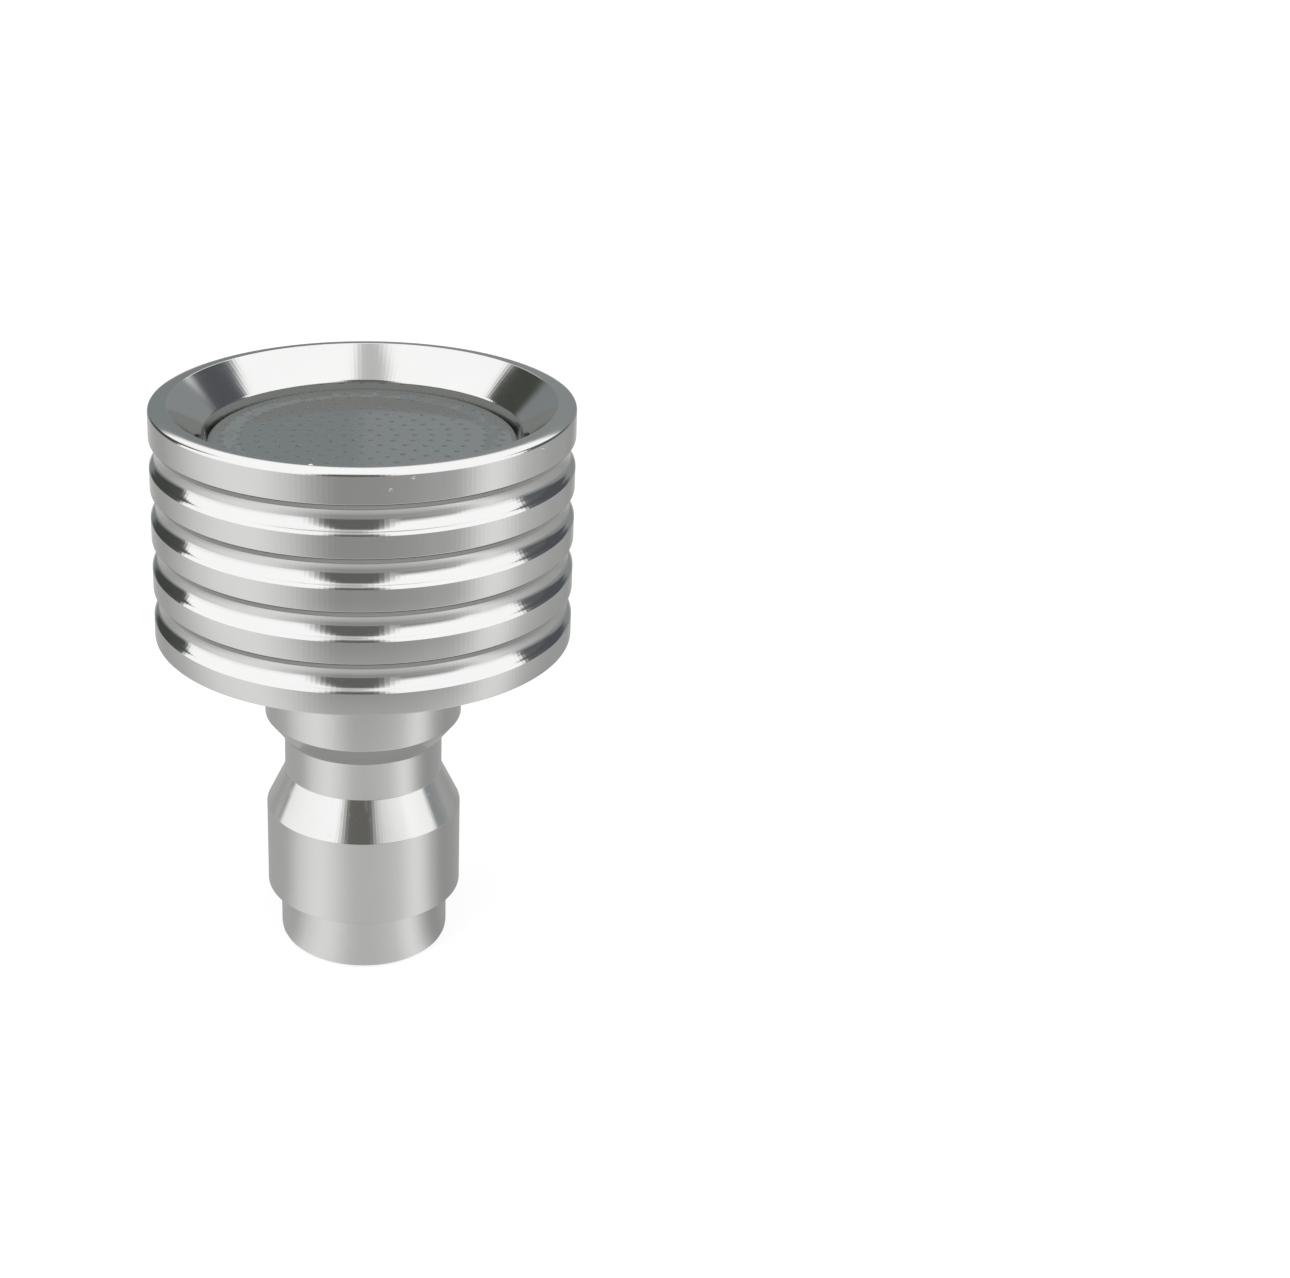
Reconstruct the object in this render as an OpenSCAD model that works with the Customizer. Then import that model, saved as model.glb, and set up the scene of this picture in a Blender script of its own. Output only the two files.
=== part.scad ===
// Rinse nozzle for a pressure washer lance: a ribbed head with a perforated spray plate, on a
// standard quarter-inch quick-connect plug. Millimetres. It stands on the plug's end face, with
// the nozzle's axis along +Z and the spray plate at the top.

/* [Head] */
// Diameter over the grip ribs
head_d = 29; // [27:0.5:36]
// Length of the head, from its back face to its rim
head_l = 16.68; // [15.6:0.02:24]
// Number of grip ribs, the rim's and the back face's own included
rib_count = 5; // [2:1:5]
// Width of each rib below the rim's, which takes the length that is left
rib_w = 1.62; // [1.2:0.02:1.9]
// Width of each groove between two ribs
groove_w = 1.99; // [1.2:0.05:2.2]
// Depth of each groove
groove_depth = 0.9; // [0.5:0.05:0.95]
// Bevel on the edges of the ribs
rib_bevel = 0.1; // [0.05:0.01:0.15]
// Radius of the rim's rounded outer edge
rim_round = 0.22; // [0.1:0.02:0.4]
// Wall of the head, from the ribs to the roots of its inside thread
shell_wall = 2; // [1.8:0.1:3]

/* [Dished lip] */
// Radial width of the ring on the rim, its rounded outer edge included
lip_w = 1.3; // [1:0.02:1.6]
// Width of the ring's flat inner part
lip_flat = 0.2; // [0.1:0.02:0.3]
// Radius at which the rest of the ring curves down towards its outer edge
lip_crown = 2.4; // [2:0.1:8]
// Radial run of the cone that falls from the ring to the mouth
dish_run = 2.38; // [2:0.02:3]
// Depth of that cone
dish_depth = 2.13; // [1.5:0.01:3.5]

/* [Spray plate] */
// Thickness of the stamped sheet
plate_t = 0.5; // [0.4:0.05:0.7]
// How far the plate's face lies below the edge of the mouth
plate_drop = 0.45; // [0.3:0.05:0.9]
// Height of the plate's raised disc over its flange
plate_rise = 1; // [0.8:0.05:1.5]
// Inside radius of the bend at the raised disc's edge
plate_bend = 0.05; // [0.02:0.01:0.25]
// Gap between the raised disc and the mouth
plate_gap = 0.19; // [0.1:0.01:0.3]
// From the outer row of holes to the raised disc's side
hole_margin = 1.04; // [0.9:0.02:1.6]
// Diameter of one spray hole
hole_d = 0.42; // [0.3:0.02:0.6]

/* [Quick-connect plug] */
// Diameter of the nose, which the coupler's seal grips
nose_d = 12; // [11.6:0.02:12.2]
// Length of the nose
nose_l = 4.28; // [3.5:0.1:6]
// Radius of the nose's rounded end
nose_round = 0.8; // [0.4:0.1:1]
// Diameter of the shoulder that fills the coupler's bore
shoulder_d = 13.88; // [13.4:0.02:14.1]
// Length of the shoulder
shoulder_l = 6.33; // [4:0.1:9]
// Length of the cone behind the shoulder, which the coupler's balls pull against
flare_l = 2.74; // [2:0.1:4]
// Diameter of the neck that the balls lock into
neck_d = 11.2; // [10:0.1:11.4]
// Length of the neck
neck_l = 2.74; // [2:0.1:4]
// Length of the cone from the neck to the collar
collar_cone_l = 1.72; // [1:0.1:3]
// Diameter of the collar
collar_d = 13.9; // [13:0.1:16]
// Length of the collar
collar_l = 6.34; // [3:0.1:9]
// Diameter of the water bore
bore_d = 6.8; // [5:0.1:7.4]
// Length of the threaded spigot that screws into the inlet body
spigot_l = 4; // [3:0.1:5]
// Metal of the collar outside the O-ring that it presses on
collar_lip = 0.55; // [0.3:0.05:0.9]
// Bevel on the plug's turned edges
plug_bevel = 0.12; // [0.05:0.01:0.2]

/* [Inlet body] */
// Height of the head's inside thread
thread_h = 0.65; // [0.5:0.05:0.8]
// Thickness of the flange at the back
flange_t = 1; // [0.6:0.1:1.2]
// Depth of solid metal beyond the end of the spigot
hub_floor = 0.44; // [0.3:0.02:1]
// Wall between the water chamber and the O-ring groove
chamber_wall = 1; // [0.6:0.05:1.4]
// Length of the cone that opens the bore into the chamber
chamber_cone_l = 3; // [1.5:0.1:3.4]
// Metal in front of the O-ring groove, and behind it
land_w = 0.7; // [0.5:0.1:1]

/* [Seals] */
// Section of the O-ring between the inlet body and the head
body_ring_w = 1.5; // [1:0.05:1.8]
// Section of the O-ring under the plug's collar
plug_ring_w = 1.2; // [0.9:0.05:1.3]
// Thickness of the flat gasket under the spray plate
gasket_t = 1; // [0.5:0.05:1.5]
// Radial width of that gasket
gasket_w = 1.7; // [1.2:0.05:1.9]

/* [Clearances] */
// Radial clearance of a sliding or screwed fit
fit_gap = 0.05; // [0.02:0.01:0.1]
// Radial gap between the inlet body's flange and the head
flange_gap = 0.15; // [0.1:0.01:0.3]
// Radial gap round the flat gasket and the plate's flange
seat_gap = 0.12; // [0.05:0.01:0.25]
// Spare width of a groove beside its O-ring
ring_gap = 0.5; // [0.1:0.05:0.6]
// Gap at a step or a bottom that must not touch
step_gap = 0.1; // [0.05:0.01:0.3]
// Bevel that leads a part into its bore
lead_in = 0.3; // [0.1:0.05:0.4]

/* [Hidden] */

$fn = 96;
hole_fn = 24; // sides that a spray hole is drawn with
over = 1;     // how far a cutting shape runs past what it cuts

// The spray plate's pattern: one hole in the middle, then this many in each row round it.
ring_holes = [6, 12, 20, 26, 32, 38, 45, 52];

// Heights along the plug, from its end face.
shoulder_z = nose_l;
flare_z = shoulder_z + shoulder_l;
neck_z = flare_z + flare_l;
collar_cone_z = neck_z + neck_l;
collar_z = collar_cone_z + collar_cone_l;
back_z = collar_z + collar_l;
spigot_top_z = back_z + spigot_l;

// Heights in the head, from its rim down to the inlet body's front face.
rim_z = back_z + head_l;
mouth_z = rim_z - dish_depth;
plate_z = mouth_z - plate_drop;
seat_z = plate_z - plate_rise;
gasket_z = seat_z - plate_t - gasket_t;
groove_top_z = gasket_z - land_w;
ring_groove_w = body_ring_w + ring_gap;
groove_bottom_z = groove_top_z - ring_groove_w;
seal_bore_z = groove_bottom_z - land_w + step_gap;

// Radii of the head, from the outside in.
head_r = head_d / 2;
dish_r = head_r - lip_w;
mouth_r = dish_r - dish_run;
thread_r = head_r - shell_wall;
seal_r = thread_r - thread_h;
land_r = seal_r - fit_gap;
groove_floor_r = land_r - body_ring_w;
chamber_r = groove_floor_r - chamber_wall;
flange_r = thread_r - flange_gap;
boss_r = mouth_r - plate_gap;
seat_r = seal_r - seat_gap;

// Radii of the plug, and of what its spigot screws into.
nose_r = nose_d / 2;
shoulder_r = shoulder_d / 2;
neck_r = neck_d / 2;
collar_r = collar_d / 2;
bore_r = bore_d / 2;
plug_groove_r = collar_r - collar_lip;
plug_groove_depth = plug_ring_w + fit_gap;
tapped_r = plug_groove_r - plug_ring_w - 2 * fit_gap;
spigot_r = tapped_r - fit_gap;

// Widths and spacings that follow from the sizes above.
plate_round = plate_t + plate_bend;
crown_r = dish_r + lip_flat;
lip_angle = asin((head_r - rim_round - crown_r) / (lip_crown - rim_round));
edge_l = head_l - lip_crown + (lip_crown - rim_round) * cos(lip_angle);
groove_arc_r = (groove_w * groove_w / 4 + groove_depth * groove_depth) / (2 * groove_depth);
hole_pitch = (boss_r - hole_margin) / len(ring_holes);
chamber_z = spigot_top_z + step_gap + hub_floor + chamber_cone_l;

// Height of the middle of groove i, counted up from the back face.
function groove_mid_z(i) = back_z + (i + 1) * rib_w + (i + 0.5) * groove_w;

// Places of the spray holes: every row starts on the same spoke, as the real plate's rows do.
hole_places = [[0, 0], for (row = [0 : len(ring_holes) - 1]) for (i = [0 : ring_holes[row] - 1])
    (row + 1) * hole_pitch * [cos(360 * i / ring_holes[row]), sin(360 * i / ring_holes[row])]];

// A disc or a cylinder given by its radius and its two heights.
module drum(r, z_low, z_high) {
    translate([0, 0, z_low])
        cylinder(r = r, h = z_high - z_low);
}

// A cone given by its radius at each of two heights.
module taper(r_low, r_high, z_low, z_high) {
    translate([0, 0, z_low])
        cylinder(r1 = r_low, r2 = r_high, h = z_high - z_low);
}

// A drum with its lower edge, its upper edge or both bevelled.
module bevelled_drum(r, z_low, z_high, bevel_low = 0, bevel_high = 0) {
    drum(r, z_low + bevel_low, z_high - bevel_high);
    if (bevel_low > 0)
        taper(r - bevel_low, r, z_low, z_low + bevel_low);
    if (bevel_high > 0)
        taper(r, r - bevel_high, z_high - bevel_high, z_high);
}

// An O-ring lying flat, given by its section, its mean radius and the height of its middle.
module o_ring(section, mean_r, mid_z) {
    translate([0, 0, mid_z])
        rotate_extrude()
            translate([mean_r, 0])
                circle(d = section);
}

// Half section of a drum of radius r and height h whose upper edge is rounded.
module rounded_section(r, h, edge_r) {
    square([r - edge_r, h]);
    square([r, h - edge_r]);
    translate([r - edge_r, h - edge_r])
        circle(r = edge_r);
}

// The nose: a cylinder whose lower edge is rounded to slip into the coupler's seal.
module nose() {
    rotate_extrude()
        translate([0, nose_l])
            mirror([0, 1])
                rounded_section(nose_r, nose_l, nose_round);
}

module quick_connect_plug() {
    color("silver")
        difference() {
            union() {
                nose();
                bevelled_drum(shoulder_r, shoulder_z, flare_z, plug_bevel);
                taper(shoulder_r, neck_r, flare_z, neck_z);
                drum(neck_r, neck_z, collar_cone_z);
                taper(neck_r, collar_r, collar_cone_z, collar_z);
                drum(collar_r, collar_z, back_z);
                bevelled_drum(spigot_r, back_z, spigot_top_z, 0, lead_in);
            }
            drum(bore_r, -over, spigot_top_z + over);
            taper(bore_r + lead_in + over, bore_r, -over, lead_in);
        }
}

// The O-ring that seals the plug's thread, in a counterbore at the back of the inlet body.
module plug_seal_ring() {
    color("dimgray")
        o_ring(plug_ring_w, (tapped_r + plug_groove_r) / 2, back_z + plug_groove_depth / 2);
}

// The body that the plug screws into and the head screws onto, hollowed into the water chamber.
module inlet_body() {
    color("lightslategray")
        difference() {
            union() {
                bevelled_drum(flange_r, back_z, back_z + flange_t, plug_bevel);
                bevelled_drum(land_r, back_z, gasket_z, 0, plug_bevel);
            }
            drum(tapped_r, back_z - over, spigot_top_z + step_gap);
            drum(plug_groove_r, back_z - over, back_z + plug_groove_depth);
            drum(bore_r, back_z, chamber_z);
            taper(bore_r, chamber_r, chamber_z - chamber_cone_l, chamber_z);
            drum(chamber_r, chamber_z, gasket_z + over);
            difference() {
                drum(land_r + over, groove_bottom_z, groove_top_z);
                drum(groove_floor_r, groove_bottom_z - over, groove_top_z + over);
            }
        }
}

// The O-ring between the inlet body and the head's smooth bore.
module body_seal_ring() {
    color("dimgray")
        o_ring(body_ring_w - fit_gap, (groove_floor_r + seal_r) / 2, (groove_bottom_z + groove_top_z) / 2);
}

// The flat gasket that holds the spray plate up against the head's seat.
module plate_gasket() {
    color("dimgray")
        difference() {
            drum(seat_r, gasket_z, gasket_z + gasket_t);
            drum(seat_r - gasket_w, gasket_z - over, gasket_z + gasket_t + over);
        }
}

// Half section of the stamped plate: a flat flange round a raised disc with a bent edge.
module plate_section() {
    difference() {
        union() {
            square([seat_r, plate_t]);
            rounded_section(boss_r, plate_rise + plate_t, plate_round);
        }
        translate([0, -over])
            rounded_section(boss_r - plate_t, plate_rise + over, plate_bend);
    }
}

module spray_plate() {
    color("gainsboro")
        difference() {
            translate([0, 0, seat_z - plate_t])
                rotate_extrude()
                    plate_section();
            for (place = hole_places)
                translate([place[0], place[1], plate_z - plate_t - over])
                    cylinder(d = hole_d, h = plate_t + 2 * over, $fn = hole_fn);
        }
}

// One groove of the grip: a round-bottomed cut whose two edges are bevelled.
module groove_section(mid_z) {
    translate([head_r - groove_depth + groove_arc_r, mid_z])
        circle(r = groove_arc_r);
    mouth = groove_w / 2;
    polygon([
        [head_r - rib_bevel, mid_z - mouth],
        [head_r + over, mid_z - mouth - rib_bevel - over],
        [head_r + over, mid_z + mouth + rib_bevel + over],
        [head_r - rib_bevel, mid_z + mouth]
    ]);
}

// Half section of the head above its back bevel, with the ring on its rim flat inside and curved
// outside, down to a rounded edge.
module blank_section() {
    translate([0, rib_bevel]) {
        square([crown_r, head_l - rib_bevel]);
        square([head_r, edge_l - rib_bevel]);
    }
    translate([head_r - rim_round, edge_l])
        circle(r = rim_round);
    translate([crown_r, head_l - lip_crown])
        intersection() {
            circle(r = lip_crown);
            polygon([
                [0, 0],
                [0, 2 * lip_crown],
                [2 * lip_crown * sin(lip_angle), 2 * lip_crown * cos(lip_angle)]
            ]);
        }
}

// The head as a plain blank, with its back edge bevelled.
module shell_blank() {
    taper(head_r - rib_bevel, head_r, back_z, back_z + rib_bevel);
    translate([0, 0, back_z])
        rotate_extrude()
            blank_section();
}

module ribbed_shell() {
    color("silver")
        difference() {
            shell_blank();
            taper(mouth_r, dish_r, mouth_z, rim_z);
            drum(dish_r, rim_z, rim_z + over);
            drum(mouth_r, seat_z - over, rim_z);
            drum(seal_r, seal_bore_z - over, seat_z);
            drum(thread_r, back_z - over, seal_bore_z);
            taper(thread_r + lead_in + over, thread_r, back_z - over, back_z + lead_in);
            rotate_extrude()
                for (i = [0 : rib_count - 2])
                    groove_section(groove_mid_z(i));
        }
}

quick_connect_plug();
plug_seal_ring();
inlet_body();
body_seal_ring();
plate_gasket();
spray_plate();
ribbed_shell();
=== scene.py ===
import bpy
import math
from mathutils import Matrix, Vector
from mathutils.bvhtree import BVHTree


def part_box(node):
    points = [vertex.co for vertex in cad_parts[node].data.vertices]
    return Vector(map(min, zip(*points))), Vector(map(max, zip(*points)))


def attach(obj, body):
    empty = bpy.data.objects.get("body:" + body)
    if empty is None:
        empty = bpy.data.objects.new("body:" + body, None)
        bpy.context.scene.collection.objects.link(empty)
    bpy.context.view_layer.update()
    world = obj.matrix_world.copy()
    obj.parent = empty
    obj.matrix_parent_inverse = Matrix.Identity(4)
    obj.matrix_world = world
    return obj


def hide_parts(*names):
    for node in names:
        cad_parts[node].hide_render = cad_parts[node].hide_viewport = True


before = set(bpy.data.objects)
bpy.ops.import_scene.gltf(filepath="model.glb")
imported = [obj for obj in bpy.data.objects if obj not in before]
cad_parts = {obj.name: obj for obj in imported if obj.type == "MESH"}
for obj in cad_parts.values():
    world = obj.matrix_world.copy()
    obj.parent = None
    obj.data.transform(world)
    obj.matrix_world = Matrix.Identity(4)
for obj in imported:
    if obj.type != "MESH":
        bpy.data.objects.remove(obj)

mm = 0.001
upAxis = Vector((0, 0, 1))
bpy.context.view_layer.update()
print("frame loaded", len(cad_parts), "nodes")

# Camera first. Angles in degrees, lengths in metres.
# The left view is a picture of its own, centred on its nozzle, so the lens is shifted, not turned.
cameraSetup = {
    "lens": 63.613,
    "sensorWidth": 36,
    "elevation": 20.612,
    "distance": 0.156653,
    "aimHeight": 0.033085,  # height on the nozzle's axis that the camera looks at
    "roll": -0.232,
    "shift": (0.21912, -0.10290),
}

# Image points of the photograph's frame, 1290 x 1278.
frameSize = (1290, 1278)
imagePoints = {
    "objectLeft": 146.5,
    "objectRight": 578,
    "objectTop": 341.5,
    "objectBottom": 965.7,
    "mouthBack": (363, 381),
    "mouthLeft": (204, 424),
    "mouthRight": (523, 428),
    "neckLeft": (285, 752),
    "neckRight": (441, 752),
    "shoulderLeft": (267.5, 840),
    "shoulderRight": (459, 840),
    "noseLeft": (282.5, 913),
    "noseRight": (445, 913),
    "topRibFoot": (363, 506.8),
    "lastRibFoot": (363, 718.5),
    "nickLipLeft": (311, 465),
    "nickLipMiddle": (414, 478),
    "nickLipRight": (543, 449),
    "nickRib": (391, 490),
}


def makeCamera(setup):
    elevation = math.radians(setup["elevation"])
    back = Vector((0, -math.cos(elevation), math.sin(elevation)))
    right = Vector((1, 0, 0))
    up = back.cross(right)
    look = Matrix((right, up, back)).transposed()
    lean = Matrix.Rotation(math.radians(setup["roll"]), 3, "Z")
    data = bpy.data.cameras.new("studioCamera")
    data.lens = setup["lens"]
    data.sensor_fit = "AUTO"
    data.sensor_width = setup["sensorWidth"]
    data.shift_x = setup["shift"][0]
    data.shift_y = setup["shift"][1]
    data.clip_start = 0.01
    data.clip_end = 20
    data.dof.use_dof = False
    made = bpy.data.objects.new("studioCamera", data)
    bpy.context.scene.collection.objects.link(made)
    place = back * setup["distance"] + upAxis * setup["aimHeight"]
    made.matrix_world = Matrix.Translation(place) @ (look @ lean).to_4x4()
    bpy.context.scene.camera = made
    bpy.context.view_layer.update()
    return made


camera = makeCamera(cameraSetup)
print("camera placed")


def imageRay(point):
    # Origin and direction of the ray through a point of the photograph's frame.
    width, height = frameSize
    longSide = max(width, height)
    data = camera.data
    across = point[0] - width / 2 + data.shift_x * longSide
    upward = height / 2 - point[1] + data.shift_y * longSide
    forward = -longSide * data.lens / data.sensor_width
    direction = camera.matrix_world.to_3x3() @ Vector((across, upward, forward))
    return camera.matrix_world.translation.copy(), direction.normalized()


def imagePlace(place):
    # Where a place of the scene shows in the photograph's frame.
    width, height = frameSize
    longSide = max(width, height)
    data = camera.data
    seen = camera.matrix_world.inverted() @ Vector(place)
    scale = longSide * data.lens / data.sensor_width / -seen.z
    x = width / 2 + seen.x * scale - data.shift_x * longSide
    y = height / 2 - seen.y * scale + data.shift_y * longSide
    return x, y


def selectNothing():
    for item in bpy.context.selected_objects:
        item.select_set(False)


def arc(middle, radius, start, end, steps):
    # Points of a round stretch, angles in degrees from the outward radius.
    angles = [math.radians(start + (end - start) * i / steps) for i in range(steps + 1)]
    return [(middle[0] + radius * math.cos(a), middle[1] + radius * math.sin(a)) for a in angles]


def turnedPiece(name, outline, steps=256, crease=24):
    # Draws the closed half section point by point, then spins it round the axis.
    selectNothing()
    start = outline[0]
    bpy.ops.mesh.primitive_plane_add(size=mm, location=(start[0], 0, start[1]))
    made = bpy.context.object
    made.name = name
    made.data.name = name
    bpy.ops.object.mode_set(mode="EDIT")
    bpy.ops.mesh.select_all(action="SELECT")
    bpy.ops.mesh.merge(type="CENTER")
    for before, after in zip(outline, outline[1:]):
        move = (after[0] - before[0], 0, after[1] - before[1])
        bpy.ops.mesh.extrude_region_move(TRANSFORM_OT_translate={"value": move})
    bpy.ops.mesh.select_all(action="SELECT")
    bpy.ops.object.mode_set(mode="OBJECT")
    for vertex in made.data.vertices:
        vertex.select = False
    made.data.vertices[0].select = True
    made.data.vertices[len(outline) - 1].select = True
    bpy.ops.object.mode_set(mode="EDIT")
    bpy.ops.mesh.edge_face_add()
    bpy.ops.mesh.select_all(action="SELECT")
    bpy.ops.mesh.spin(steps=steps, angle=2 * math.pi, center=(0, 0, 0), axis=(0, 0, 1))
    bpy.ops.mesh.select_all(action="SELECT")
    bpy.ops.mesh.remove_doubles(threshold=0.2e-6)
    bpy.ops.mesh.normals_make_consistent(inside=False)
    bpy.ops.object.mode_set(mode="OBJECT")
    bpy.ops.object.transform_apply(location=True, rotation=True, scale=True)
    bpy.ops.object.shade_smooth_by_angle(angle=math.radians(crease))
    modifier = made.modifiers.new("facesLeadNormals", "WEIGHTED_NORMAL")
    modifier.keep_sharp = True
    bpy.ops.object.modifier_apply(modifier=modifier.name)
    print("turned", name, len(made.data.vertices), "vertices")
    return made


def meshPiece(name, corners, faces):
    # A selected, active piece made of the listed corners and faces.
    mesh = bpy.data.meshes.new(name)
    mesh.from_pydata(corners, [], faces)
    made = bpy.data.objects.new(name, mesh)
    bpy.context.scene.collection.objects.link(made)
    selectNothing()
    bpy.context.view_layer.objects.active = made
    made.select_set(True)
    return made


def rounded(outline, steps=5):
    # Each corner is (radius, height) in millimetres, or (radius, height, rounding).
    points = []
    count = len(outline)
    for i, corner in enumerate(outline):
        here = Vector(corner[:2])
        if len(corner) == 2:
            points.append(tuple(here))
            continue
        before = (Vector(outline[i - 1][:2]) - here).normalized()
        after = (Vector(outline[(i + 1) % count][:2]) - here).normalized()
        half = before.angle(after) / 2
        reach = corner[2] / math.tan(half)
        middle = here + (before + after).normalized() * corner[2] / math.sin(half)
        first = here + before * reach - middle
        sweep = first.angle_signed(here + after * reach - middle)
        for step in range(steps + 1):
            spoke = Matrix.Rotation(-sweep * step / steps, 2) @ first
            points.append(tuple(middle + spoke))
    return [(x * mm, z * mm) for x, z in points]


# The head: a turned shell with five ribs and a dished lip under a crown. Millimetres.
headShell = {
    "radius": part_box("ribbed_shell")[1].x / mm,
    "back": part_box("ribbed_shell")[0].z / mm,
    "rim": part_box("ribbed_shell")[1].z / mm,
    "ribCount": 5,
    "ribWidth": 1.62,
    "grooveWidth": 1.99,
    "grooveDepth": 0.65,
    "grooveSteps": 28,
    "grooveLip": 0.012,  # how far below the rib above a groove's round stops
    "edgeRound": 0.09,
    "ribBevel": (0.09, 0.13),  # height and depth of the bevel on each rib's front edge
    "bevelRound": 0.02,
    "rimRound": 0.22,
    "crown": 2.4,
    "crownRadius": 13.4,
    "crownSteps": 10,
    "dishRadius": 13.2,
    "dishRound": 0.12,
    "mouthRadius": 10.82,
    "mouthHeight": 38.7,
    "mouthRound": 0.3,
    "seatHeight": 37.25,
    "seatRound": 0.05,
    "sealRadius": 11.85,
    "sealBottom": 32.45,
    "threadRadius": 12.5,
    "leadIn": 0.3,
}


def makeHeadShell(size):
    radius = size["radius"]
    back = size["back"]
    rim = size["rim"]
    gaps = size["ribCount"] - 1
    half = size["grooveWidth"] / 2
    depth = size["grooveDepth"]
    arcRadius = (half * half + depth * depth) / (2 * depth)
    arcMiddle = radius - depth + arcRadius
    corner = size["edgeRound"]
    bevelHigh, bevelDeep = size["ribBevel"]
    low = math.degrees(math.acos((arcMiddle - radius + bevelDeep) / arcRadius))
    high = math.degrees(math.asin((half - size["grooveLip"]) / arcRadius))
    outline = [(radius, back, corner)]
    for groove in range(gaps):
        middle = back + (groove + 1) * size["ribWidth"] + (groove + 0.5) * size["grooveWidth"]
        outline.append((radius, middle - half - bevelHigh, size["bevelRound"]))
        outline += arc((arcMiddle, middle), arcRadius, 180 + low, 180 - high, size["grooveSteps"])
        outline.append((radius, middle + half, corner))
    mouthRadius = size["mouthRadius"]
    edge = size["rimRound"]
    crown = size["crown"]
    slope = math.asin((radius - edge - size["crownRadius"]) / (crown - edge))
    edgeHeight = rim - crown + (crown - edge) * math.cos(slope)
    lean = 90 - math.degrees(slope)
    outline += arc((radius - edge, edgeHeight), edge, 0, lean, size["crownSteps"])[:-1]
    outline += arc((size["crownRadius"], rim - crown), crown, lean, 90, size["crownSteps"])
    outline += [
        (size["dishRadius"], rim, size["dishRound"]),
        (mouthRadius, size["mouthHeight"], size["mouthRound"]),
        (mouthRadius, size["seatHeight"], size["seatRound"]),
        (size["sealRadius"], size["seatHeight"]),
        (size["sealRadius"], size["sealBottom"]),
        (size["threadRadius"], size["sealBottom"]),
        (size["threadRadius"], back + size["leadIn"]),
        (size["threadRadius"] + size["leadIn"], back),
    ]
    return turnedPiece("turnedShell", rounded(outline, steps=9))


shell = makeHeadShell(headShell)
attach(shell, "shell")
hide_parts("ribbed_shell")

# The quick-connect plug, from its end face up. Millimetres.
connectPlug = {
    "noseRadius": 6,
    "noseLength": 4.28,
    "noseRound": 0.8,
    "stepRound": 0.06,
    "shoulderRadius": 6.94,
    "flareStart": 10.61,
    "neckRadius": 5.6,
    "neckStart": 13.35,
    "neckEnd": 16.09,
    "collarRadius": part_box("quick_connect_plug")[1].x / mm,
    "collarStart": 17.81,
    "collarEnd": 24.15,
    "spigotRadius": 5.05,
    "spigotEnd": 28.15,
    "boreRadius": 3.4,
    "boreBevel": 0.3,
    "edgeRound": 0.12,
}


def makeConnectPlug(size):
    corner = size["edgeRound"]
    bore = size["boreRadius"]
    bevel = size["boreBevel"]
    outline = [
        (bore + bevel, 0),
        (size["noseRadius"], 0, size["noseRound"]),
        (size["noseRadius"], size["noseLength"], size["stepRound"]),
        (size["shoulderRadius"], size["noseLength"], corner),
        (size["shoulderRadius"], size["flareStart"], corner),
        (size["neckRadius"], size["neckStart"], corner),
        (size["neckRadius"], size["neckEnd"], corner),
        (size["collarRadius"], size["collarStart"], corner),
        (size["collarRadius"], size["collarEnd"]),
        (size["spigotRadius"], size["collarEnd"]),
        (size["spigotRadius"], size["spigotEnd"] - bevel),
        (size["spigotRadius"] - bevel, size["spigotEnd"]),
        (bore, size["spigotEnd"]),
        (bore, bevel),
    ]
    return turnedPiece("turnedPlug", rounded(outline), steps=192)


plug = makeConnectPlug(connectPlug)
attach(plug, "plug")
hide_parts("quick_connect_plug")

# The inlet body inside the head, hollowed behind the plate. Millimetres.
inletBody = {
    "flangeRadius": 12.35,
    "flangeBottom": 24.15,
    "flangeTop": 25.15,
    "landRadius": 11.8,
    "front": 35.75,
    "grooveRadius": 10.3,
    "grooveBottom": 33.05,
    "grooveTop": 35.05,
    "chamberRadius": 9.3,
    "chamberStart": 31.69,
    "boreRadius": 3.4,
    "boreEnd": 28.69,
    "tappedRadius": 5.1,
    "tappedEnd": 28.25,
    "counterRadius": 6.4,
    "counterEnd": 25.4,
    "edgeRound": 0.1,
}


def makeInletBody(size):
    corner = size["edgeRound"]
    outline = [
        (size["counterRadius"], size["flangeBottom"]),
        (size["flangeRadius"], size["flangeBottom"], corner),
        (size["flangeRadius"], size["flangeTop"], corner),
        (size["landRadius"], size["flangeTop"], corner),
        (size["landRadius"], size["grooveBottom"], corner),
        (size["grooveRadius"], size["grooveBottom"]),
        (size["grooveRadius"], size["grooveTop"]),
        (size["landRadius"], size["grooveTop"], corner),
        (size["landRadius"], size["front"], corner),
        (size["chamberRadius"], size["front"]),
        (size["chamberRadius"], size["chamberStart"], corner),
        (size["boreRadius"], size["boreEnd"], corner),
        (size["boreRadius"], size["tappedEnd"]),
        (size["tappedRadius"], size["tappedEnd"]),
        (size["tappedRadius"], size["counterEnd"]),
        (size["counterRadius"], size["counterEnd"]),
    ]
    return turnedPiece("turnedInletBody", rounded(outline), steps=192)


inlet = makeInletBody(inletBody)
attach(inlet, "plug")
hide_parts("inlet_body")


def addNode(tree, kind, settings=None, values=None):
    made = tree.nodes.new("ShaderNode" + kind)
    for name, value in (settings or {}).items():
        setattr(made, name, value)
    for name, value in (values or {}).items():
        made.inputs[name].default_value = value
    return made


def feed(tree, value, socket):
    # Sets a socket to a number or a colour, or links another socket to it.
    if isinstance(value, (int, float)):
        socket.default_value = value
    elif isinstance(value, tuple):
        socket.default_value = (*value, 1)
    else:
        tree.links.new(value, socket)


def calculated(tree, operation, *values):
    made = addNode(tree, "Math", {"operation": operation})
    for value, socket in zip(values, made.inputs):
        feed(tree, value, socket)
    return made.outputs[0]


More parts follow.
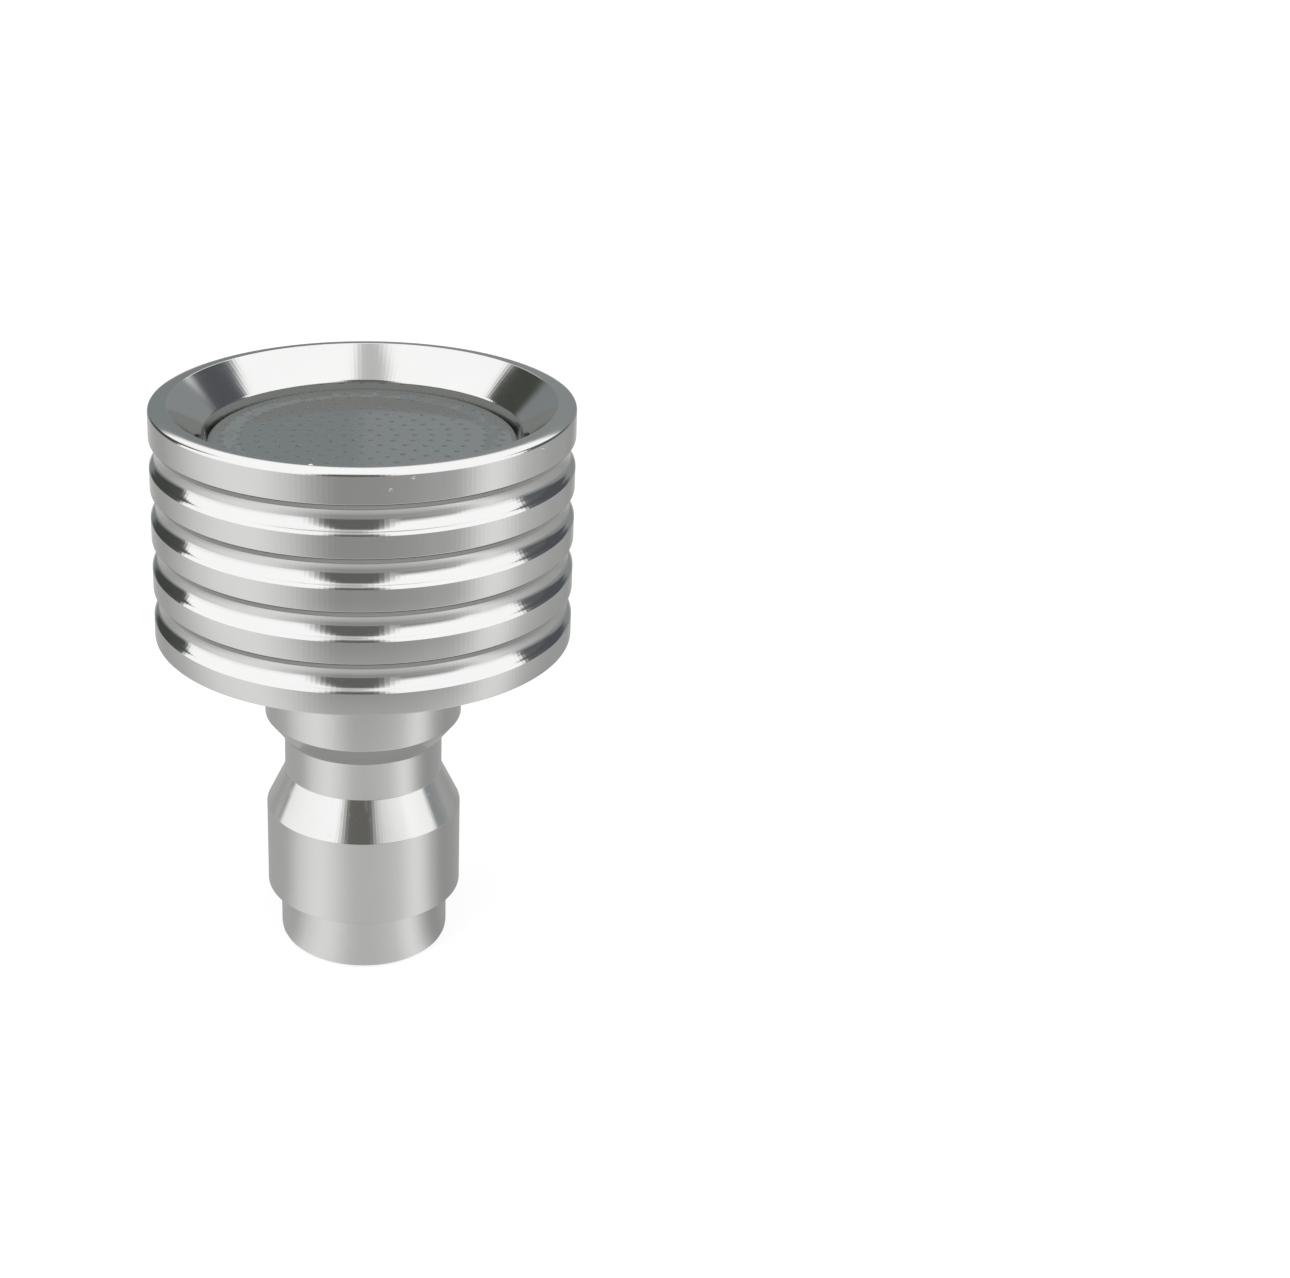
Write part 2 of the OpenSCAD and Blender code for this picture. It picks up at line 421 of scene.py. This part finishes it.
def ranged(tree, value, fromRange, toRange, interpolation="LINEAR"):
    made = addNode(tree, "MapRange", {"interpolation_type": interpolation},
                   {"From Min": fromRange[0], "From Max": fromRange[1],
                    "To Min": toRange[0], "To Max": toRange[1]})
    tree.links.new(value, made.inputs["Value"])
    return made.outputs["Result"]


def blended(tree, factor, first, second):
    made = addNode(tree, "MixRGB")
    for value, socket in zip((factor, first, second), made.inputs):
        feed(tree, value, socket)
    return made.outputs[0]


def eitherShader(tree, factor, first, second):
    made = addNode(tree, "MixShader")
    for value, socket in zip((factor, first, second), made.inputs):
        tree.links.new(value, socket)
    return made.outputs[0]


def lengthOf(tree, place):
    made = addNode(tree, "VectorMath", {"operation": "LENGTH"})
    tree.links.new(place, made.inputs[0])
    return made.outputs["Value"]


def stretched(tree, place, factors):
    made = addNode(tree, "VectorMath", {"operation": "MULTIPLY"}, {1: factors})
    tree.links.new(place, made.inputs[0])
    return made.outputs["Vector"]


def axisDistance(tree, place):
    return lengthOf(tree, stretched(tree, place, (1, 1, 0)))


def separated(tree, vector):
    made = addNode(tree, "SeparateXYZ")
    tree.links.new(vector, made.inputs[0])
    return made.outputs


def noiseFac(tree, place, scale, detail=3, stretch=(1, 1, 1)):
    noise = addNode(tree, "TexNoise", None, {"Scale": scale, "Detail": detail, "Roughness": 0.6})
    tree.links.new(stretched(tree, place, stretch), noise.inputs["Vector"])
    return noise.outputs["Fac"]


def bumped(tree, height, strength, depth):
    made = addNode(tree, "Bump", None, {"Strength": strength, "Distance": depth})
    tree.links.new(height, made.inputs["Height"])
    return made.outputs[0]


def emptyMaterial(name):
    made = bpy.data.materials.new(name)
    made.use_nodes = True
    made.node_tree.nodes.clear()
    return made


def finishMaterial(material, shader):
    output = addNode(material.node_tree, "OutputMaterial")
    material.node_tree.links.new(shader, output.inputs["Surface"])
    return material


def softStep(tree, value, edge, soft, rising=True):
    # 0 to 1 over soft at either side of the edge, or 1 to 0.
    apart = calculated(tree, "SUBTRACT", value, edge)
    return ranged(tree, apart, (-soft, soft), (0, 1) if rising else (1, 0), "SMOOTHSTEP")


def directionAngles(tree):
    # Azimuth from the camera's side, to the right positive, and elevation, both in degrees.
    place = addNode(tree, "TexCoord").outputs["Object"]
    parts = separated(tree, place)
    turn = calculated(tree, "ARCTAN2", parts["X"], calculated(tree, "MULTIPLY", parts["Y"], -1))
    rise = calculated(tree, "ARCSINE", calculated(tree, "DIVIDE", parts["Z"], lengthOf(tree, place)))
    return calculated(tree, "DEGREES", turn), calculated(tree, "DEGREES", rise), place


def mirroredInMetal(tree, path):
    # 1 for a ray that one metal surface has already sent on to another.
    return calculated(tree, "GREATER_THAN", path.outputs["Glossy Depth"], 1.5)


# Cards round the nozzle that glow for its metal alone, painted reflections that light nothing;
# the gaps between them show the white room.
# Azimuths run from the camera's side, right positive. A card lists its azimuths, its lower edge,
# the height of its upper edge at each end, how soft its upright and level edges are, its shade.
studioCards = {
    "radius": 1.0,
    "cards": [
        ((-118, -28), -15, (6, 6), (6, 14), (0.83, 0.83, 0.82)),
        ((54, 95), -15, (6, 6), (6, 14), (0.76, 0.76, 0.75)),
        ((-205, -109), -15, (46, 14), (3, 3), (0.2, 0.22, 0.22)),
        ((90, 205), -15, (13, 46), (4, 3), (0.235, 0.25, 0.25)),
        ((-205, -108), -15, (0, 0), (4, 5), (0.27, 0.28, 0.28)),
        ((88, 205), -15, (1, 1), (4, 5), (0.3, 0.31, 0.31)),
        ((-149, -125), 5, (47, 41), (3, 3), (0.055, 0.06, 0.05)),
        ((-128, -111), 5, (42, 18), (3, 3), (0.06, 0.065, 0.055)),
        ((95, 122), 8, (22, 48), (3, 3), (0.1, 0.105, 0.11)),
        ((119, 142), 11, (50, 47), (3, 3), (0.075, 0.08, 0.09)),
        ((17, 54), -15, (20, 7), (5, 15), (0.24, 0.24, 0.235)),
        ((-46, 9), 72, (91, 91), (14, 5), (0.5, 0.5, 0.49)),
        ((-26, 16), -15, (70, 70), (8, 8), (0.12, 0.118, 0.108)),
    ],
    "paintedDeepShade": (0.21, 0.215, 0.205),  # painted shade: the flat dark grey that metal mirrored in metal shows, darkening grooves and recesses
}


def hideFromAllButGloss(item):
    item.visible_camera = False
    item.visible_diffuse = False
    item.visible_transmission = False
    item.visible_shadow = False
    item.visible_volume_scatter = False


def makeStudioCards(setup):
    selectNothing()
    middle = (0, 0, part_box("ribbed_shell")[0].z)
    bpy.ops.mesh.primitive_uv_sphere_add(segments=48, ring_count=24, radius=setup["radius"])
    tent = bpy.context.object
    tent.name = "studioCards"
    tent.location = middle
    material = emptyMaterial("studioCards")
    tree = material.node_tree
    azimuth, elevation, _ = directionAngles(tree)
    shader = addNode(tree, "BsdfTransparent").outputs[0]
    for azimuths, bottom, tops, softness, shade in setup["cards"]:
        top = ranged(tree, azimuth, azimuths, tops)
        across = calculated(tree, "MULTIPLY", softStep(tree, azimuth, azimuths[0], softness[0]),
                            softStep(tree, azimuth, azimuths[1], softness[0], rising=False))
        upward = calculated(tree, "MULTIPLY", softStep(tree, elevation, bottom, softness[1]),
                            softStep(tree, elevation, top, softness[1], rising=False))
        cover = calculated(tree, "MULTIPLY", across, upward)
        glow = addNode(tree, "Emission", None, {"Color": (*shade, 1)})
        shader = eitherShader(tree, cover, shader, glow.outputs[0])
    # Painted shade: a ray that metal has sent on to metal sees one flat dark grey, whatever card lies
    # ahead.
    deep = mirroredInMetal(tree, addNode(tree, "LightPath"))
    gloom = addNode(tree, "Emission", None, {"Color": (*setup["paintedDeepShade"], 1)})
    finishMaterial(material, eitherShader(tree, deep, shader, gloom.outputs[0]))
    tent.data.materials.append(material)
    hideFromAllButGloss(tent)
    return tent


tent = makeStudioCards(studioCards)

# The white table. The camera sees it white with a trace of shadow; metal mirrors it graded, glowing
# in painted light and shade. Shades are listed by azimuth, for far from the nozzle and for near it.
tableSetup = {
    "radius": 1.5,
    "colour": (0.3, 0.3, 0.3),
    "glow": 0.78,
    "farShades": [
        (-180, 0.75), (-158, 0.5), (-142, 0.37), (-125, 0.37), (-103, 0.53), (-87, 0.66), (-67, 0.72),
        (-49, 0.67), (-32, 0.49), (-17, 0.3), (0, 0.27), (17, 0.29), (32, 0.33), (49, 0.4), (59, 0.58),
        (69, 0.72), (80, 0.66), (90, 0.5), (111, 0.38), (130, 0.34), (152, 0.36), (180, 0.75),
    ],
    "nearShades": [
        (-180, 0.4), (-127, 0.38), (-101, 0.41), (-84, 0.56), (-69, 0.66), (-56, 0.71), (-45, 0.69),
        (-33, 0.62), (-22, 0.53), (-11, 0.47), (10, 0.46), (31, 0.51), (42, 0.57), (54, 0.68),
        (67, 0.69), (81, 0.51), (97, 0.33), (120, 0.3), (180, 0.4),
    ],
    # Painted shade: what metal mirrored in metal sees of the table.
    "paintedDeepShade": (0.3, 0.3, 0.295),
    "spread": 0.003,  # how much the shades turn with nearness to the axis
    "nearRadius": 0.03,
    "farRadius": 0.085,
}


def shadesRound(tree, azimuth, shades):
    # A ramp over the azimuth through the listed shades, a trace warmer than grey.
    ramp = addNode(tree, "ValToRGB")
    ramp.color_ramp.interpolation = "CARDINAL"
    stops = ramp.color_ramp.elements
    while len(stops) > 1:
        stops.remove(stops[0])
    for index, (angle, shade) in enumerate(shades):
        stop = stops[0] if index == 0 else stops.new((angle + 180) / 360)
        stop.position = (angle + 180) / 360
        stop.color = (shade, shade, shade * 0.99, 1)
    tree.links.new(ranged(tree, azimuth, (-180, 180), (0, 1)), ramp.inputs[0])
    return ramp.outputs[0]


def makeTable(setup):
    selectNothing()
    bpy.ops.mesh.primitive_circle_add(vertices=96, radius=setup["radius"], fill_type="NGON")
    table = bpy.context.object
    table.name = "studioTable"
    material = emptyMaterial("studioTable")
    tree = material.node_tree
    azimuth, _, place = directionAngles(tree)
    distance = lengthOf(tree, place)
    far = ranged(tree, distance, (setup["nearRadius"], setup["farRadius"]), (0, 1))
    widened = calculated(tree, "ADD", calculated(tree, "DIVIDE", setup["spread"], distance), 1)
    turned = calculated(tree, "MULTIPLY", azimuth, widened)
    graded = blended(tree, far, shadesRound(tree, turned, setup["nearShades"]),
                     shadesRound(tree, turned, setup["farShades"]))
    # Painted light and shade: glossy rays see the graded shades glowing, and a darker grey after two
    # mirrorings.
    path = addNode(tree, "LightPath")
    dimmed = blended(tree, mirroredInMetal(tree, path), graded, setup["paintedDeepShade"])
    mirrored = addNode(tree, "Emission")
    tree.links.new(dimmed, mirrored.inputs["Color"])
    paper = addNode(tree, "BsdfDiffuse", None, {"Color": (*setup["colour"], 1)})
    glow = addNode(tree, "Emission", None, {"Strength": setup["glow"]})
    seen = addNode(tree, "AddShader")
    tree.links.new(paper.outputs[0], seen.inputs[0])
    tree.links.new(glow.outputs[0], seen.inputs[1])
    glossy = path.outputs["Is Glossy Ray"]
    finishMaterial(material, eitherShader(tree, glossy, seen.outputs[0], mirrored.outputs[0]))
    table.data.materials.append(material)
    return table


table = makeTable(tableSetup)

# Plain daylight on everything: an even room and two wide, soft lamps.
lightSetup = {
    "room": 0.62,
    "lamps": [(-55, 48, 1.0), (50, 52, 0.8)],  # azimuth from the camera, elevation, strength
    "lampAngle": 60,
}


def makeWorld(setup):
    world = bpy.data.worlds.new("whiteRoom")
    bpy.context.scene.world = world
    world.use_nodes = True
    tree = world.node_tree
    tree.nodes.clear()
    path = addNode(tree, "LightPath")
    direct = calculated(tree, "MAXIMUM", path.outputs["Is Camera Ray"], path.outputs["Is Glossy Ray"])
    seen = calculated(tree, "MAXIMUM", direct, path.outputs["Is Transmission Ray"])
    background = addNode(tree, "Background", None, {"Color": (1, 1, 1, 1)})
    tree.links.new(ranged(tree, seen, (0, 1), (setup["room"], 1)), background.inputs["Strength"])
    output = addNode(tree, "OutputWorld")
    tree.links.new(background.outputs[0], output.inputs["Surface"])


def makeLamps(setup):
    for index, (azimuth, elevation, strength) in enumerate(setup["lamps"]):
        data = bpy.data.lights.new("softLamp%d" % (index + 1), "SUN")
        data.energy = strength
        data.angle = math.radians(setup["lampAngle"])
        lamp = bpy.data.objects.new(data.name, data)
        bpy.context.scene.collection.objects.link(lamp)
        flat = math.cos(math.radians(elevation))
        side = math.radians(azimuth)
        rise = math.sin(math.radians(elevation))
        source = Vector((flat * math.sin(side), -flat * math.cos(side), rise))
        lamp.rotation_mode = "QUATERNION"
        lamp.rotation_quaternion = source.to_track_quat("Z", "Y")
        lamp.visible_glossy = False


makeWorld(lightSetup)
makeLamps(lightSetup)
bpy.context.scene.view_settings.view_transform = "Standard"
print("studio set")

# Thread ridges between the head and the inlet body, right-handed. Millimetres.
threadShape = {
    "pitch": 1.0,
    "rootHalf": 0.4,
    "crestHalf": 0.07,
    "stepsPerTurn": 96,
    "fadeSteps": 30,
    "male": {"root": 11.78, "crest": 12.4, "start": 25.6, "turns": 6.2},
    "female": {"root": 12.52, "crest": 11.97, "start": 26.1, "turns": 5.8},
}


def makeThread(name, shape, which):
    # A ridge that climbs one pitch a turn and fades into its wall at both ends.
    ridge = shape[which]
    steps = round(ridge["turns"] * shape["stepsPerTurn"])
    root = shape["rootHalf"]
    crest = shape["crestHalf"]
    section = [(0, -root), (1, -crest), (1, crest), (0, root)]
    corners = []
    for step in range(steps + 1):
        angle = 2 * math.pi * step / shape["stepsPerTurn"]
        height = ridge["start"] + shape["pitch"] * step / shape["stepsPerTurn"]
        full = min(1, (step + 1) / shape["fadeSteps"], (steps - step + 1) / shape["fadeSteps"])
        for reach, offset in section:
            radius = (ridge["root"] + (ridge["crest"] - ridge["root"]) * reach * full) * mm
            corners.append((radius * math.cos(angle), radius * math.sin(angle), (height + offset) * mm))
    faces = [(3, 2, 1, 0), tuple(4 * steps + k for k in range(4))]
    for step in range(steps):
        for side in range(4):
            here = 4 * step + side
            ahead = 4 * step + (side + 1) % 4
            faces.append((here, ahead, ahead + 4, here + 4))
    made = meshPiece(name, corners, faces)
    bpy.ops.object.mode_set(mode="EDIT")
    bpy.ops.mesh.select_all(action="SELECT")
    bpy.ops.mesh.normals_make_consistent(inside=False)
    bpy.ops.object.mode_set(mode="OBJECT")
    bpy.ops.object.shade_smooth_by_angle(angle=math.radians(20))
    return made


maleThread = makeThread("maleThread", threadShape, "male")
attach(maleThread, "plug")
femaleThread = makeThread("femaleThread", threadShape, "female")
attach(femaleThread, "shell")
print("threads cut")


def surfaceTree(piece):
    corners = [piece.matrix_world @ vertex.co for vertex in piece.data.vertices]
    return BVHTree.FromPolygons(corners, [tuple(face.vertices) for face in piece.data.polygons])


def surfaceSpot(tree, point):
    # Where an image point lies on what carries it; a miss takes the place nearest the ray.
    origin, direction = imageRay(point)
    spot, normal, _, _ = tree.ray_cast(origin, direction)
    if spot is None:
        reach = cameraSetup["distance"]
        tries = [tree.find_nearest(origin + direction * reach * (0.8 + 0.005 * i)) for i in range(81)]
        spot, normal, _, _ = min(tries, key=lambda found: found[3])
    if normal.dot(direction) > 0:
        normal = -normal
    return spot, normal


# Small dents from use, each a shallow pit with a raised lip: rings of reach and rise inwards,
# then each dent's size across, up and high. Millimetres.
nickShape = {
    "rings": [(1.0, -0.6), (0.8, 0.55), (0.62, 0.8), (0.42, 0.35), (0.2, 0.12)],
    "sides": 18,
    "uneven": 0.14,
    "turn": 20,  # turns the uneven outline of each size differently
    "sizes": {
        "nickLipLeft": (0.2, 0.12, 0.05),
        "nickLipMiddle": (0.18, 0.12, 0.05),
        "nickLipRight": (0.24, 0.12, 0.06),
        "nickRib": (0.16, 0.14, 0.04),
    },
}


def makeNick(name, tree, shape, point):
    spot, normal = surfaceSpot(tree, point)
    across = upAxis.cross(normal).normalized()
    upward = normal.cross(across)
    wide, tall, high = shape["sizes"][name]
    sides = shape["sides"]
    corners = []
    for reach, rise in shape["rings"]:
        for side in range(sides):
            angle = 2 * math.pi * side / sides
            uneven = reach * (1 + shape["uneven"] * math.sin(3 * angle + wide * shape["turn"]))
            flat = across * wide * math.cos(angle) + upward * tall * math.sin(angle)
            corners.append(spot + (flat * uneven + normal * high * rise) * mm)
    count = len(shape["rings"])
    corners.append(spot + normal * high * shape["rings"][0][1] * mm)
    corners.append(spot)
    faces = []
    for side in range(sides):
        beside = (side + 1) % sides
        for ring in range(count - 1):
            low = ring * sides
            faces.append((low + side, low + beside, low + sides + beside, low + sides + side))
        last = (count - 1) * sides
        faces.append((beside, side, count * sides))
        faces.append((last + side, last + beside, count * sides + 1))
    made = meshPiece(name, corners, faces)
    bpy.ops.object.shade_smooth()
    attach(made, "shell")
    return made


shellTree = surfaceTree(shell)
nicks = [makeNick(name, shellTree, nickShape, imagePoints[name]) for name in nickShape["sizes"]]
print("nicks placed", len(nicks))


def lathePlace(tree, place):
    # The same all round, so that a pattern on it is made of the lathe's lines.
    ring = addNode(tree, "CombineXYZ")
    tree.links.new(axisDistance(tree, place), ring.inputs["X"])
    tree.links.new(separated(tree, place)["Z"], ring.inputs["Z"])
    return ring.outputs[0]


def turnedSteel(name, finish):
    material = emptyMaterial(name)
    tree = material.node_tree
    place = addNode(tree, "TexCoord").outputs["Object"]
    ring = lathePlace(tree, place)
    fine = noiseFac(tree, ring, finish["lineScale"])
    broad = noiseFac(tree, ring, finish["lineScale"] / 6)
    patches = noiseFac(tree, place, finish["patchScale"], 5)
    rubbed = noiseFac(tree, place, finish["scuffScale"], 2, finish["scuffStretch"])
    scuffs = ranged(tree, rubbed, finish["scuffRange"], (0, 1))
    uneven = calculated(tree, "MULTIPLY_ADD", fine, finish["lineShare"], patches)
    rough = ranged(tree, uneven, (0.3, 0.9), finish["roughness"])
    rougher = calculated(tree, "MULTIPLY_ADD", scuffs, finish["scuffRoughness"], rough)
    colour = blended(tree, patches, finish["colour"], finish["shade"])
    lines = calculated(tree, "MULTIPLY_ADD", broad, finish["broadShare"], fine)
    height = calculated(tree, "MULTIPLY_ADD", scuffs, -finish["scuffDepth"], lines)
    metal = addNode(tree, "BsdfPrincipled", None, {"Metallic": 1.0})
    tree.links.new(colour, metal.inputs["Base Color"])
    tree.links.new(rougher, metal.inputs["Roughness"])
    tree.links.new(bumped(tree, height, finish["bump"], finish["bumpDepth"]), metal.inputs["Normal"])
    return finishMaterial(material, metal.outputs[0])


shellFinish = {
    "colour": (0.95, 0.95, 0.94),
    "shade": (0.88, 0.885, 0.88),
    "roughness": (0.07, 0.13),
    "lineScale": 5000,
    "lineShare": 0.3,
    "broadShare": 0.8,
    "patchScale": 160,
    "scuffScale": 700,
    "scuffStretch": (1, 1, 9),
    "scuffRange": (0.64, 0.76),
    "scuffRoughness": 0.05,
    "scuffDepth": 0.3,
    "bump": 0.15,
    "bumpDepth": 0.000002,
}
plugFinish = dict(shellFinish, roughness=(0.08, 0.15), lineScale=3600, scuffStretch=(3, 3, 0.5),
                  scuffRange=(0.56, 0.7), scuffRoughness=0.1, bump=0.22)
bodyFinish = dict(shellFinish, roughness=(0.16, 0.26), lineScale=3000, bump=0.3)
shellSteel = turnedSteel("turnedShellSteel", shellFinish)
bodySteel = turnedSteel("turnedBodySteel", bodyFinish)
for piece in [shell, *nicks]:
    piece.data.materials.append(shellSteel)
plug.data.materials.append(turnedSteel("turnedPlugSteel", plugFinish))
for piece in [inlet, maleThread, femaleThread]:
    piece.data.materials.append(bodySteel)


def repaint(nodeName, material):
    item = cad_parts[nodeName]
    for slot in item.material_slots:
        slot.material = material


# The stamped sheet: bright and a little wavy, its punched hole walls torn and dull. Metres.
plateFinish = {
    "colour": (0.93, 0.95, 0.955),
    "shade": (0.84, 0.865, 0.87),
    "roughness": (0.05, 0.11),
    "wallColour": (0.37, 0.38, 0.38),
    "wallRoughness": 0.65,
    "grainScale": 260,
    "grainStretch": (1, 14, 1),
    "waveScale": 420,
    "waveDepth": 0.000007,
    "dentScale": 1300,
    "dentDepth": 0.000001,
    "edgeRise": (0.0088, 0.0099),  # radii between which the sheet turns up a little
    "edgeWander": 0.0007,
    "edgeDepth": 0.00013,
}


def stampedSteel(name, finish):
    material = emptyMaterial(name)
    tree = material.node_tree
    source = addNode(tree, "TexCoord")
    place = source.outputs["Object"]
    # The sheet lies level and the walls of its holes stand, so the normal tells them apart.
    level = calculated(tree, "ABSOLUTE", separated(tree, source.outputs["Normal"])["Z"])
    wall = ranged(tree, level, (0.25, 0.6), (1, 0))
    grain = noiseFac(tree, place, finish["grainScale"], 6, finish["grainStretch"])
    waves = noiseFac(tree, place, finish["waveScale"], 2)
    dents = noiseFac(tree, place, finish["dentScale"], 1)
    sheet = blended(tree, grain, finish["colour"], finish["shade"])
    rough = ranged(tree, grain, (0.3, 0.7), finish["roughness"])
    torn = blended(tree, wall, rough, (finish["wallRoughness"],) * 3)
    wander = calculated(tree, "MULTIPLY_ADD", waves, finish["edgeWander"], axisDistance(tree, place))
    edge = ranged(tree, wander, finish["edgeRise"], (0, finish["edgeDepth"]))
    wavy = calculated(tree, "MULTIPLY_ADD", waves, finish["waveDepth"], edge)
    height = calculated(tree, "MULTIPLY_ADD", dents, finish["dentDepth"], wavy)
    metal = addNode(tree, "BsdfPrincipled")
    tree.links.new(blended(tree, wall, sheet, finish["wallColour"]), metal.inputs["Base Color"])
    tree.links.new(torn, metal.inputs["Roughness"])
    tree.links.new(ranged(tree, wall, (0, 1), (1, 0.1)), metal.inputs["Metallic"])
    tree.links.new(bumped(tree, height, 1, 1), metal.inputs["Normal"])
    return finishMaterial(material, metal.outputs[0])


repaint("spray_plate", stampedSteel("stampedSteel", plateFinish))

rubberFinish = {
    "colour": (0.022, 0.022, 0.024),
    "shade": (0.045, 0.045, 0.047),
    "roughness": (0.45, 0.7),
    "patchScale": 500,
    "grainScale": 9000,
    "bumpDepth": 0.00001,
}


def sealRubber(name, finish):
    material = emptyMaterial(name)
    tree = material.node_tree
    place = addNode(tree, "TexCoord").outputs["Object"]
    patches = noiseFac(tree, place, finish["patchScale"], 4)
    grain = noiseFac(tree, place, finish["grainScale"], 2)
    rubber = addNode(tree, "BsdfPrincipled")
    tree.links.new(blended(tree, patches, finish["colour"], finish["shade"]), rubber.inputs["Base Color"])
    tree.links.new(ranged(tree, patches, (0.3, 0.7), finish["roughness"]), rubber.inputs["Roughness"])
    tree.links.new(bumped(tree, grain, 0.4, finish["bumpDepth"]), rubber.inputs["Normal"])
    return finishMaterial(material, rubber.outputs[0])


nitrile = sealRubber("nitrileRubber", rubberFinish)
for nodeName in ("plug_seal_ring", "body_seal_ring", "plate_gasket"):
    repaint(nodeName, nitrile)
print("materials made")


def shownPlaces(piece, low, high, least=0, most=20):
    # Image places of a piece's finished vertices between two heights and two radii, millimetres.
    places = []
    for vertex in piece.data.vertices:
        place = piece.matrix_world @ vertex.co
        radius = math.hypot(place.x, place.y) / mm
        if low <= place.z / mm <= high and least <= radius <= most:
            places.append(imagePlace(place))
    return places


def imageValue(name, axis):
    # An image point's own x or y. The object's four limits are listed as one number each.
    point = imagePoints[name]
    return point if isinstance(point, (int, float)) else point[axis]


def writePoints():
    whole = shownPlaces(shell, 0, 60) + shownPlaces(plug, 0, 60)
    mouth = shownPlaces(shell, headShell["mouthHeight"] - 0.1, headShell["mouthHeight"] + 0.1, 0, 11.2)
    outer = headShell["radius"] - 0.2
    ribPitch = headShell["ribWidth"] + headShell["grooveWidth"]
    topFoot = headShell["back"] + (headShell["ribCount"] - 1) * ribPitch
    topRib = shownPlaces(shell, topFoot - 0.1, topFoot + 0.2, outer)
    lastRib = shownPlaces(shell, headShell["back"] - 0.1, headShell["back"] + 0.2, outer)
    levels = {"objectTop": whole, "mouthBack": mouth}
    floors = {"objectBottom": whole, "topRibFoot": topRib, "lastRibFoot": lastRib}
    for group, choose in ((levels, min), (floors, max)):
        for name, places in group.items():
            round(choose(y for _, y in places) - imageValue(name, 1), 2)
    for nick in nicks:
        places = shownPlaces(nick, 0, 60)


writePoints()
